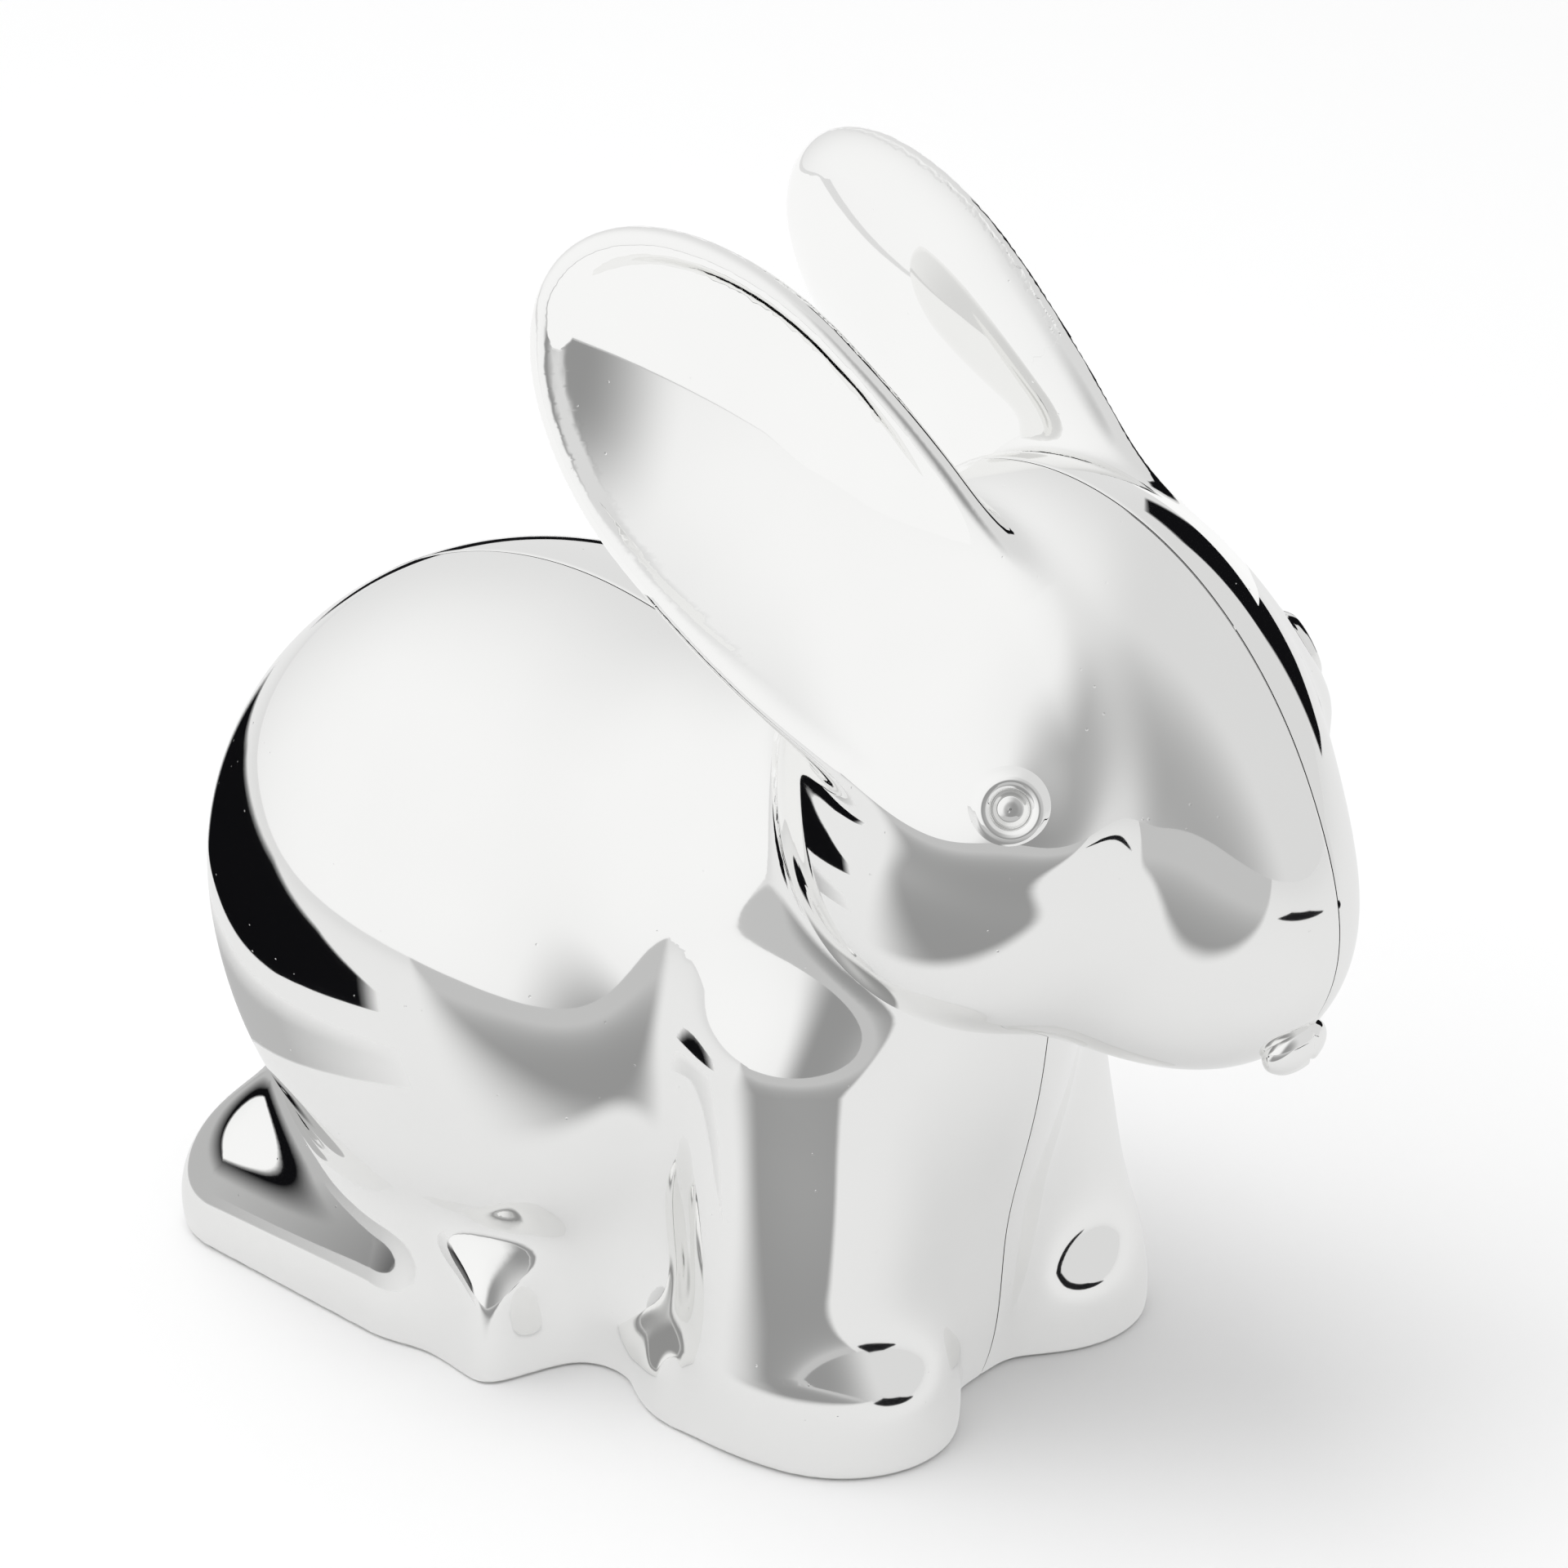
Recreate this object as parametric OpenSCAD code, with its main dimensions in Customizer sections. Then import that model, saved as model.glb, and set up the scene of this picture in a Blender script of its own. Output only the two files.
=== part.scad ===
// Silver-plated rabbit money box: two cast body halves, two cast head halves, ears, nose, eyes,
// a bottom plate and a soft stopper. Millimetres, +Z up, nose towards +X, table at z = 0.

/* [Overall] */
// Length from the back of the rump to the front of the face
total_length = 119; // [112:1:130]
// Width across the haunches
total_width = 63; // [58:1:70]
// Height from the table to the ear tips
total_height = 109.5; // [102:0.5:120]

/* [Castings] */
// Wall thickness of the body and head shells
wall = 2.2; // [1.6:0.1:2.6]
// Solder gap between castings that meet
joint_gap = 0.3; // [0.2:0.05:0.5]
// Hairline gap along the midline seam
seam_gap = 0.1; // [0.1:0.05:0.2]
// Radius of the way that coins take from the head down into the body
neck_radius = 13; // [10:0.5:15]

/* [Ears] */
// Length of an ear from its root to its tip
ear_reach = 45.5; // [41:0.5:50]
// Width of an ear across its middle
ear_width = 28.5; // [26:0.5:32]
// Thickness of an ear
ear_thickness = 5.4; // [4.4:0.2:6.4]
// Turn of an ear about its own length between tip and root, in degrees
ear_twist = 24; // [16:1:30]
// Depth of the hollow in the outer face of an ear
ear_dish = 6; // [4:0.5:7]

/* [Eyes and nose] */
// Outer diameter of the eye ring
eye_diameter = 7; // [6:0.25:8]
// How far an eye stands proud of its socket
eye_proud = 0.4; // [0.3:0.1:0.8]
// Depth of the eye socket in the casting
eye_socket = 0.8; // [0.5:0.1:1]
// Width of the nose pad
nose_width = 7.2; // [6:0.2:9]

/* [Coin slot] */
// Length of the slot between the ears
slot_length = 24; // [22:0.5:26]
// Width of the slot across the seam
slot_width = 5; // [4.5:0.1:6]

/* [Underside] */
// Thickness of the bottom plate
plate_thickness = 2; // [1.5:0.1:2.5]
// Height of the bottom plate above the table
plate_lift = 2.4; // [2:0.1:3.5]
// Clearance round the bottom plate
plate_clearance = 0.4; // [0.3:0.05:0.8]
// Diameter of the stopper hole in the bottom plate
hole_diameter = 25; // [22:0.5:26]
// Radial clearance of the stopper plug in its hole
plug_clearance = 0.2; // [0.15:0.05:0.4]
// Height of the stopper plug above its flange
plug_height = 7; // [5:0.5:10]
// Flange width outside the hole
flange_width = 2.5; // [1.5:0.5:3]

/* [Hidden] */
$fn = 48;
silver = [0.86, 0.86, 0.85];
black = [0.12, 0.12, 0.13];
// size that the shape below is drawn at, and its stretch to the wanted overall sizes
drawn_size = [119, 63, 109.5];
S = [total_length / drawn_size.x, total_width / drawn_size.y, total_height / drawn_size.z];
s_min = min(S.x, S.y, S.z);
// axis that the body is drawn round, and the centre the head is drawn round
body_axis = [-16, 0, 30];
head_axis = [32, 0, 62];
// grid steps in degrees and in mm for outer and inner surfaces
fine = 3;
coarse = 7.5;
rise = 2.5;
ear_root = [26, -17.3, 78.4];
ear_along = unit([-36.6, -0.3, 27.5]);
ear_out = unit(square_to([0.11, -0.955, 0.26], ear_along));
ear_across = cross(ear_out, ear_along);
ear_widest = ear_reach * 0.5;
ear_back = 33;
eye_x = 40.3;
eye_z = 69;
nose_at = [55, 0, 43.2];
slot_at = [14, 0, 79];
slot_tilt = 45;
slot_depth = 16;
neck_x = 12;
neck_top = 52;
hole_at = [-25, 0];
flange_top = plate_lift;
flange_thickness = plate_lift - 0.8;
plug_radius = hole_diameter / 2 - plug_clearance;

function unit(v) = v / norm(v);
function square_to(v, a) = v - (v * a) * a;
function each_by(p, q) = [p.x * q.x, p.y * q.y, p.z * q.z];
function each_over(p, q) = [p.x / q.x, p.y / q.y, p.z / q.z];
// smooth union of two distances, blended over k
function blend(a, b, k) = let (h = max(k - abs(a - b), 0) / k) min(a, b) - h * h * h * k / 6;
// smooth intersection, rounded over k
function carve(a, b, k) = -blend(-a, -b, k);
// near-distance to an ellipsoid with centre c and radii r
function ball(p, c, r) = let (u = each_over(p - c, r), k = norm(u)) k * (k - 1) / max(norm(each_over(u, r)), 0.001);
// the same, tipped nose down by a degrees
function tipped(p, c, r, a) = let (q = p - c)
    ball([cos(a) * q.x - sin(a) * q.z, q.y, sin(a) * q.x + cos(a) * q.z], [0, 0, 0], r);
// distance to a tapered rod from a to b
function rod(p, a, b, ra, rb) = let (t = min(1, max(0, (p - a) * (b - a) / ((b - a) * (b - a)))))
    norm(p - a - t * (b - a)) - ra - (rb - ra) * t;
// distance in front of a flat face through a point, facing the given way
function face(p, at, way) = (p - at) * way / norm(way);
// both sides folded on to the right side, softened by s at the middle
function folded(p, s) = [p.x, -sqrt(p.y * p.y + s * s), p.z];

// the wedge of a hind foot: front, outer side, sloping top, back and underside, edges rounded
function foot(p) = carve(carve(carve(carve(
    face(p, [-12.2, -29, 2], [0.93, -0.36, 0.12]),
    face(p, [-12.2, -29, 0], [-0.29, -0.957, 0.1]), 4),
    face(p, [-12.2, -29, 9], [0.23, -0.43, 0.874]), 4),
    face(p, [-33, -24, 14], [-0.75, -0.1, 0.65]), 4),
    face(p, [-12.2, -20, -3], [0, 0, -1]), 4);

// the body as drawn: rump, base, chest, haunch, heel, hind foot, foreleg, paw and neck melted together
function body_shape(p) = let (
    q = folded(p, 2.5),
    a = ball(p, [-25.5, 0, 37], [34, 30, 31]),
    b = blend(a, ball(p, [-15, 0, 8], [39, 20.5, 26]), 10),
    c = blend(b, ball(p, [7, 0, 36], [22, 19, 28]), 16),
    d = blend(c, ball(q, [-21, -18.45, 31], [22, 12, 19]), 10),
    e = blend(d, rod(q, [-48, -13.5, 3], [-26, -18, 2], 10, 9), 13),
    f = blend(e, foot(q), 4),
    g = blend(f, rod(q, [12.5, -13, 34], [15, -16, 8], 10.5, 10.5), 8),
    h = blend(g, rod(q, [7, -15, 1], [18.6, -15, 1.5], 9.5, 9.6), 8))
    blend(h, rod(p, [6, 0, 45], [22, 0, 62], 18, 16), 14);

// the head as drawn: skull, cheeks, tipped egg of the face and jaw
function head_shape(p) = let (
    q = folded(p, 1),
    a = ball(p, [27, 0, 65.5], [21, 20, 21]),
    b = blend(a, ball(q, [29.8, -12.5, 60.5], [16.5, 14, 17]), 12),
    c = blend(b, tipped(p, [35.8, 0, 64.5], [27.5, 13.8, 18.8], 50), 14))
    blend(c, ball(p, [41, 0, 53], [17, 11, 13.5]), 8);

function shape(w, p) = let (q = each_over(p, S)) s_min * (w == 0 ? body_shape(q) : head_shape(q));
// walk from far out along o + t d towards o until the shape's distance is the wanted level
function walk(w, o, d, t, level, n) =
    n == 0 ? o + t * d : walk(w, o, d, max(0.5, t - (shape(w, o + t * d) - level)), level, n - 1);
function hit(w, o, d, level) = walk(w, o, d, 85, level, 16);
// outward direction of the shape's surface at p
function outward(w, p) = let (e = 0.05) unit([
    shape(w, p + [e, 0, 0]) - shape(w, p - [e, 0, 0]),
    shape(w, p + [0, e, 0]) - shape(w, p - [0, e, 0]),
    shape(w, p + [0, 0, e]) - shape(w, p - [0, 0, e])]);

function side(p) = [p.x, -p.y, p.z];
// a ring of points round an axis: half worked out, half mirrored
function ring(w, o, rise_angle, step, level) = let (
    n = round(180 / step),
    half = [for (j = [0:n]) let (a = -180 * j / n)
        hit(w, o, [cos(a) * cos(rise_angle), sin(a) * cos(rise_angle), sin(rise_angle)], level)])
    concat(half, [for (j = [1:n - 1]) side(half[n - j])]);

// closed skin over rings of equal length, with a point at each end
module skin(rings, first, last) {
    m = len(rings[0]);
    n = len(rings);
    points = concat([first], [for (r = rings) for (p = r) p], [last]);
    faces = concat(
        [for (j = [0:m - 1]) [0, 1 + (j + 1) % m, 1 + j]],
        [for (i = [0:n - 2]) for (j = [0:m - 1]) let (a = 1 + i * m + j, b = 1 + i * m + (j + 1) % m)
            each [[a, b + m, a + m], [a, b, b + m]]],
        [for (j = [0:m - 1]) let (k = 1 + (n - 1) * m) [k + j, k + (j + 1) % m, n * m + 1]]);
    polyhedron(points, faces, convexity = 6);
}

module body_solid(level, step, floor) {
    o = each_by(body_axis, S);
    low = max(2, round((o.z - floor) / (rise * step / fine)));
    high = round(90 / (step * 1.5));
    rings = concat(
        [for (i = [0:low]) ring(0, [o.x, 0, floor + (o.z - floor) * i / low], 0, step, level)],
        [for (i = [1:high - 1]) ring(0, o, 90 * i / high, step, level)]);
    skin(rings, [o.x, 0, floor], hit(0, o, [0, 0, 1], level));
}

module head_solid(level, step) {
    o = each_by(head_axis, S);
    n = round(180 / step);
    rings = [for (i = [1:n - 1]) ring(1, o, -90 + 180 * i / n, step, level)];
    skin(rings, hit(1, o, [0, 0, -1], level), hit(1, o, [0, 0, 1], level));
}

// everything on the right of the midline seam
module right_of_seam() {
    translate([-150, -100 - seam_gap / 2, -50]) cube([300, 100, 250]);
}

module other_side() {
    mirror([0, 1, 0]) children();
}

// one solid mesh from its children
module as_cast() {
    minkowski() {
        union() children();
    }
}

// places its children on the head's right cheek, +Z outward
module on_cheek() {
    at = walk(1, [eye_x * S.x, 0, eye_z * S.z], [0, -1, 0], 60, 0, 16);
    n = outward(1, at);
    translate(at) rotate([0, acos(n.z), atan2(n.y, n.x)]) children();
}

module body_right_shell_shape() {
    as_cast() intersection() {
        difference() {
            body_solid(0, fine, 0);
            body_solid(-wall, coarse, -1);
            head_solid(joint_gap, 5);
        }
        right_of_seam();
    }
}

module head_right_shell_shape() {
    as_cast() intersection() {
        difference() {
            head_solid(0, 5);
            head_solid(-wall, 10);
            translate(each_by(slot_at, S)) rotate([0, slot_tilt, 0])
                cube([slot_depth, slot_width, slot_length], center = true);
            translate([neck_x * S.x, 0, 20]) cylinder(h = neck_top * S.z - 20, r = neck_radius);
            on_cheek() translate([0, 0, -eye_socket]) cylinder(h = 5, d = eye_diameter + 2 * joint_gap);
        }
        right_of_seam();
    }
}

module ear_right_shape() {
    rows = 20;
    half = 11;
    place = function(a, b, n) let (
        t = -ear_twist * pow(1 - min(1, max(-0.1, a / ear_reach)), 2),
        across = b * cos(t) + n * sin(t),
        out = n * cos(t) - b * sin(t))
        each_by(ear_root, S) + a * ear_along + across * ear_across + out * ear_out;
    rings = [for (i = [1:rows - 1]) let (s = 180 - 180 * i / rows) [for (j = [0:2 * half - 1]) let (
        u = -cos(180 * j / half),
        reach = cos(s) > 0 ? ear_reach - ear_widest : ear_back,
        k2 = cos(s) * cos(s) + u * u * sin(s) * sin(s),
        edge = sqrt(max(0, 1 - pow(k2, 4))) * (j <= half ? 1 : -1))
        place(ear_widest + reach * cos(s), u * sin(s) * ear_width / 2,
            ear_thickness / 2 * edge - ear_dish * (1 - k2))]];
    as_cast() difference() {
        skin(rings, place(ear_widest - ear_back, 0, 0), place(ear_reach, 0, 0));
        head_solid(joint_gap, 5);
    }
}

module nose_pad() {
    color(silver) as_cast() difference() {
        translate(each_by(nose_at, S)) rotate([0, 35, 0]) scale([0.55, 1, 0.8]) sphere(d = nose_width, $fn = 24);
        head_solid(joint_gap / 2, 5);
    }
}

module eye_shape() {
    r = eye_diameter / 2;
    on_cheek() translate([0, 0, -eye_socket]) rotate_extrude() polygon([
        [0, 0], [r, 0], [r, eye_socket + eye_proud - 0.4], [r - 0.4, eye_socket + eye_proud],
        [r - 0.9, eye_socket + eye_proud], [r - 1.9, eye_socket + 0.1], [1.1, eye_socket + 0.1],
        [0.8, eye_socket + 0.7], [0, eye_socket + 0.8]]);
}

module body_right_shell() {
    color(silver) body_right_shell_shape();
}

module body_left_shell() {
    color(silver) other_side() body_right_shell_shape();
}

module head_right_shell() {
    color(silver) head_right_shell_shape();
}

module head_left_shell() {
    color(silver) other_side() head_right_shell_shape();
}

module ear_right() {
    color(silver) ear_right_shape();
}

module ear_left() {
    color(silver) other_side() ear_right_shape();
}

module eye_right() {
    color(silver) eye_shape();
}

module eye_left() {
    color(silver) other_side() eye_shape();
}

module base_plate_half() {
    intersection() {
        body_solid(-wall - plate_clearance, coarse, -1);
        translate([-100, -99.99, plate_lift]) cube([200, 100, plate_thickness]);
    }
}

module base_plate() {
    color(silver) difference() {
        as_cast() {
            base_plate_half();
            other_side() base_plate_half();
        }
        translate([hole_at.x * S.x, 0, plate_lift - 1]) cylinder(h = plate_thickness + 2, d = hole_diameter);
    }
}

module stopper() {
    color(black) translate([hole_at.x * S.x, 0, 0]) difference() {
        union() {
            translate([0, 0, flange_top - flange_thickness])
                cylinder(h = flange_thickness, d = hole_diameter + 2 * flange_width);
            translate([0, 0, flange_top]) cylinder(h = plug_height, r = plug_radius);
        }
        translate([0, 0, flange_top + 1]) cylinder(h = plug_height, r = plug_radius - 2);
        translate([0, 0, flange_top - flange_thickness - 1]) difference() {
            cylinder(h = 1.8, d = hole_diameter - 6);
            translate([-20, -1.6, 0]) cube([40, 3.2, 4]);
        }
    }
}

body_right_shell();
body_left_shell();
head_right_shell();
head_left_shell();
ear_right();
ear_left();
nose_pad();
eye_right();
eye_left();
base_plate();
stopper();
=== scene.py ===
"""Looks of a silver-plated rabbit money box.

The castings are smooth blends of a few ellipsoids and tapered rods, the same ones that the frame is cut
from, with the ears melted into the head, a solder fillet at the neck and a fine seam down the middle.
Shapes are drawn in millimetres in the frame's own axes (+X to the nose, +Y to the rabbit's left, +Z up).
"""

import bpy
import numpy as np
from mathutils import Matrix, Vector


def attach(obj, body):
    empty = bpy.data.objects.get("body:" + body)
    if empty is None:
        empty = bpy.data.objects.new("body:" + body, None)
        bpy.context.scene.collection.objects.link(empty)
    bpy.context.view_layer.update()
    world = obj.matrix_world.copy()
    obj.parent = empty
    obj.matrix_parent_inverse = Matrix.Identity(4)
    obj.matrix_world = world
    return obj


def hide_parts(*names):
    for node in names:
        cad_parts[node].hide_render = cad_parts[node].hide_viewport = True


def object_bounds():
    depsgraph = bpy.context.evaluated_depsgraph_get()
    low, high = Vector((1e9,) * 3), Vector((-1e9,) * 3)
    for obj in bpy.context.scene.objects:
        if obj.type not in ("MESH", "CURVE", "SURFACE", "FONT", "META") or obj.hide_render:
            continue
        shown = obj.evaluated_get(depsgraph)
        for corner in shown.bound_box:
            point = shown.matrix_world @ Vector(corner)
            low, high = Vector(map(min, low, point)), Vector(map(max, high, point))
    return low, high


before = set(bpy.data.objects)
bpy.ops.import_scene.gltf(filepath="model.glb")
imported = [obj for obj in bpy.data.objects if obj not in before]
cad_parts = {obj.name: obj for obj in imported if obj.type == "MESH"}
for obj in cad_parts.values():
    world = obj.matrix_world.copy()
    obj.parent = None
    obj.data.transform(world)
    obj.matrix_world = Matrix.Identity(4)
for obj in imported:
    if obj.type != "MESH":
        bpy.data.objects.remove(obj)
cad_box = [list(corner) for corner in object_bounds()]

MM = 0.001
# the box that the numbers below are drawn in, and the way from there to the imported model's box
DRAWN_LOW = np.array([-59.5, -31.63, 0.0])
DRAWN_HIGH = np.array([59.6, 31.63, 109.56])
CAD_LOW, CAD_HIGH = (np.array(corner) / MM for corner in cad_box)
STRETCH = (CAD_HIGH - CAD_LOW) / (DRAWN_HIGH - DRAWN_LOW)
SHIFT = CAD_LOW - DRAWN_LOW * STRETCH

WALL = 2.2            # wall of the castings
SEAM_HALF_GAP = 0.05  # half the gap between the right and left castings
SOLDER_DEPTH = 0.3    # how far the body runs into the head's wall
SOLDER_FILLET = 3.0   # width of the solder fillet round the neck
SEAM_DEPTH = 0.14     # how deep the seam is polished back
SEAM_REACH = 0.45     # how far it reaches to each side


# ---------------------------------------------------------------- shapes as distances

def blend(a, b, width):
    """Smooth union: the smaller distance, less a cubic dip where the two differ by less than width."""
    h = np.maximum(width - np.abs(a - b), 0) / width
    return np.minimum(a, b) - h ** 3 * width / 6


def carve(a, b, width):
    """Smooth intersection: the larger distance, rounded over width."""
    return -blend(-a, -b, width)


def ball(p, centre, radii):
    """Near-distance to an ellipsoid: k (k - 1) / |u / radii|, with u = (p - centre) / radii, k = |u|."""
    u = (p - centre) / radii
    k = np.linalg.norm(u, axis=-1)
    return k * (k - 1) / np.maximum(np.linalg.norm(u / radii, axis=-1), 1e-3)


def tipped_ball(p, centre, radii, degrees):
    """The same for an ellipsoid whose nose is tipped down."""
    q = p - centre
    c, s = np.cos(np.radians(degrees)), np.sin(np.radians(degrees))
    turned = np.stack([c * q[..., 0] - s * q[..., 2], q[..., 1], s * q[..., 0] + c * q[..., 2]], -1)
    return ball(turned, np.zeros(3), radii)


def rod(p, start, end, start_radius, end_radius):
    """Distance to a rod whose radius changes evenly from start to end."""
    start, way = np.array(start, float), np.subtract(end, start).astype(float)
    t = np.clip((p - start) @ way / (way @ way), 0, 1)
    away = np.linalg.norm(p - start - t[..., None] * way, axis=-1)
    return away - start_radius - (end_radius - start_radius) * t


def box(p, centre, half, axes):
    """Distance to a box with the given centre, half sizes and three unit axes."""
    q = np.abs((p - centre) @ np.transpose(axes)) - half
    return np.linalg.norm(np.maximum(q, 0), axis=-1) + np.minimum(q.max(-1), 0)


def wedge(p, faces, rounding):
    """Distance to the space under flat faces, each (a point on it, its outward way), edges rounded."""
    d = None
    for point, way in faces:
        side = (p - np.array(point, float)) @ unit(way)
        d = side if d is None else carve(d, side, rounding)
    return d


def folded(p, soft):
    """Both sides of the rabbit folded on to its right side, rounded off by soft at the middle."""
    q = p.copy()
    q[..., 1] = -np.sqrt(p[..., 1] ** 2 + soft ** 2)
    return q


def unit(v):
    """The vector v at length 1."""
    return np.array(v, float) / np.linalg.norm(v)


# the hind foot's wedge: its front, outer side, sloping top, back and underside
FOOT_FACES = [((-12.2, -29, 2), (0.93, -0.36, 0.12)),
              ((-12.2, -29, 0), (-0.29, -0.957, 0.1)),
              ((-12.2, -29, 9), (0.23, -0.43, 0.874)),
              ((-33, -24, 14), (-0.75, -0.1, 0.65)),
              ((-12.2, -20, -3), (0, 0, -1))]


def body_form(p):
    """Smooth union, in turn: rump, base, chest, haunch, heel, hind foot, foreleg, fore paw and neck."""
    q = folded(p, 2.5)
    d = ball(p, (-25.5, 0, 37), (34, 30, 31))
    d = blend(d, ball(p, (-15, 0, 8), (39, 20.5, 26)), 10)
    d = blend(d, ball(p, (7, 0, 36), (22, 19, 28)), 16)
    d = blend(d, ball(q, (-21, -18.45, 31), (22, 12, 19)), 10)
    d = blend(d, rod(q, (-48, -13.5, 3), (-26, -18, 2), 10, 9), 13)
    d = blend(d, wedge(q, FOOT_FACES, 4), 4)
    d = blend(d, rod(q, (12.5, -13, 34), (15, -16, 8), 10.5, 10.5), 8)
    d = blend(d, rod(q, (7, -15, 1), (18.6, -15, 1.5), 9.5, 9.6), 8)
    return blend(d, rod(p, (6, 0, 45), (22, 0, 62), 18, 16), 14)


def skull_form(p):
    """Skull, cheeks, tipped egg of the face and jaw, blended in that order."""
    q = folded(p, 1)
    d = ball(p, (27, 0, 65.5), (21, 20, 21))
    d = blend(d, ball(q, (29.8, -12.5, 60.5), (16.5, 14, 17)), 12)
    d = blend(d, tipped_ball(p, (35.8, 0, 64.5), (27.5, 13.8, 18.8), 50), 14)
    return blend(d, ball(p, (41, 0, 53), (17, 11, 13.5)), 8)


# the right ear: where it leaves the head, the way it runs, and the way its dish faces
EAR_ROOT = np.array([26, -17.3, 78.4])
EAR_ALONG = unit([-36.6, -0.3, 27.5])
EAR_FACES = np.array([0.11, -0.955, 0.26])
EAR_OUT = unit(EAR_FACES - (EAR_FACES @ EAR_ALONG) * EAR_ALONG)
EAR_ACROSS = np.cross(EAR_OUT, EAR_ALONG)
EAR_REACH, EAR_WIDTH, EAR_THICK = 45.5, 28.5, 5.4
EAR_BACK = 46         # length of the outline's lower half, which runs on into the head
EAR_TWIST = 24        # degrees between the root and the tip
EAR_DISH = 6          # depth of the dish
EAR_STEP = 0.8        # depth of the step inside the rim
STEP_AT, STEP_SLOPE = 0.9, 0.08   # where that step begins and how wide it is, as shares of the outline
STEP_FROM, STEP_GROWS = 4, 14     # where along the ear it begins, and the length that it grows over


def ear_coordinates(p):
    """Along, across and out of the ear, unwound by a twist.

    The twist grows as the square of the way from the tip to the root.
    """
    q = folded(p, 0.3) - EAR_ROOT
    along, across, out = q @ EAR_ALONG, q @ EAR_ACROSS, q @ EAR_OUT
    turn = np.radians(-EAR_TWIST) * (1 - np.clip(along / EAR_REACH, -0.1, 1)) ** 2
    return along, across * np.cos(turn) - out * np.sin(turn), across * np.sin(turn) + out * np.cos(turn)


def ear_sheet(p):
    """Distance outside the ear's oval outline, height above its dished sheet, and drop inside the rim.

    The dish is a paraboloid, depth * (1 - k squared), where k is 1 on the outline.
    """
    along, across, out = ear_coordinates(p)
    widest = EAR_REACH / 2
    reach = np.where(along > widest, EAR_REACH - widest, EAR_BACK)
    u, v = (along - widest) / reach, across / (EAR_WIDTH / 2)
    k = np.sqrt(u ** 2 + v ** 2)
    steep = np.sqrt((u / reach) ** 2 + (v / (EAR_WIDTH / 2)) ** 2)
    outside = k * (k - 1) / np.maximum(steep, 1e-4)
    step = np.clip((STEP_AT - k) / STEP_SLOPE, 0, 1) * np.clip((along - STEP_FROM) / STEP_GROWS, 0, 1)
    height = out + EAR_DISH * np.maximum(1 - k ** 2, -0.5)
    return outside, height, EAR_STEP * step ** 2 * (3 - 2 * step)


def ear_form(p):
    """A sheet with a round rim, and a shallow step down inside the rim on its outer face."""
    outside, height, drop = ear_sheet(p)
    r = EAR_THICK / 2
    flat = np.maximum(height + drop, -height) - r
    u, v = np.maximum(outside + r, 0), np.maximum(flat + r, 0)
    return np.minimum(np.maximum(outside, flat) + r, 0) + np.sqrt(u * u + v * v) - r


EYE_AT = np.array([40.3, 0, 69.0])
FLARE, FLARE_REACH, FLARE_DEEP = 0.8, 4.6, 12   # the cheek's rise round the eye, its reach and depth
SOCKET_RADIUS, SOCKET_AT, SOCKET_HALF = 2.5, 0.6, 1.2
WAY_DOWN_X, WAY_DOWN_RADIUS, WAY_DOWN_TOP = 12, 13, 52
SLOT_AT, SLOT_HALF = np.array([14, 0, 79]), np.array([8, 2.5, 12])
SLOT_AXES = [unit([1, 0, -1]), [0, 1, 0], unit([1, 0, 1])]


def slopes(form, p, step=0.01):
    """Gradient of a form at points p, by central differences."""
    g = np.zeros_like(p)
    for i in range(3):
        d = np.zeros(3)
        d[i] = step
        g[..., i] = (form(p + d) - form(p - d)) / (2 * step)
    return g


def outward(form, p):
    """Outward direction of a form at points p: its gradient at length 1."""
    g = slopes(form, p)
    return g / np.maximum(np.linalg.norm(g, axis=-1, keepdims=True), 1e-9)


def on_cheek():
    """The right cheek's point straight out from the eye's place, and its outward direction there."""
    y = np.linspace(-30, -5, 2501)
    line = np.stack([np.full_like(y, EYE_AT[0]), y, np.full_like(y, EYE_AT[2])], -1)
    point = line[np.argmin(np.abs(skull_form(line)))]
    return point, outward(skull_form, point[None])[0]


EYE_POINT, EYE_OUT = on_cheek()


def eye_coordinates(p):
    """Distance from the eye's axis and height along it."""
    q = folded(p, 0.01) - EYE_POINT
    height = q @ EYE_OUT
    return np.linalg.norm(q - height[..., None] * EYE_OUT, axis=-1), height


def seam_groove(p):
    """Depth of the seam: it falls off as the square of the way out from the middle plane."""
    return SEAM_DEPTH * np.maximum(1 - np.abs(p[..., 1]) / SEAM_REACH, 0) ** 2


def head_outside(p):
    """Head and ear melted together, with the cheek drawn up round the eye ring by a Gaussian."""
    d = blend(skull_form(p), ear_form(p), 5)
    r, h = eye_coordinates(p)
    return d - FLARE * np.exp(-(r / FLARE_REACH) ** 2) * (np.abs(h) < FLARE_DEEP)


def head_casting(p):
    """The hollow head with its coin slot, its way down to the body and the two eye sockets."""
    d = head_outside(p) + seam_groove(p)
    hollow = skull_form(p) + WALL
    across = np.hypot(p[..., 0] - WAY_DOWN_X, p[..., 1])
    way_down = np.maximum(across - WAY_DOWN_RADIUS, p[..., 2] - WAY_DOWN_TOP)
    r, h = eye_coordinates(p)
    socket = np.maximum(r - SOCKET_RADIUS, np.abs(h - SOCKET_AT) - SOCKET_HALF)
    d = carve(carve(d, -hollow, 0.6), -way_down, 0.6)
    d = carve(d, -box(p, SLOT_AT, SLOT_HALF, SLOT_AXES), 1.0)
    return carve(d, -socket, 0.3)


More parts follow.
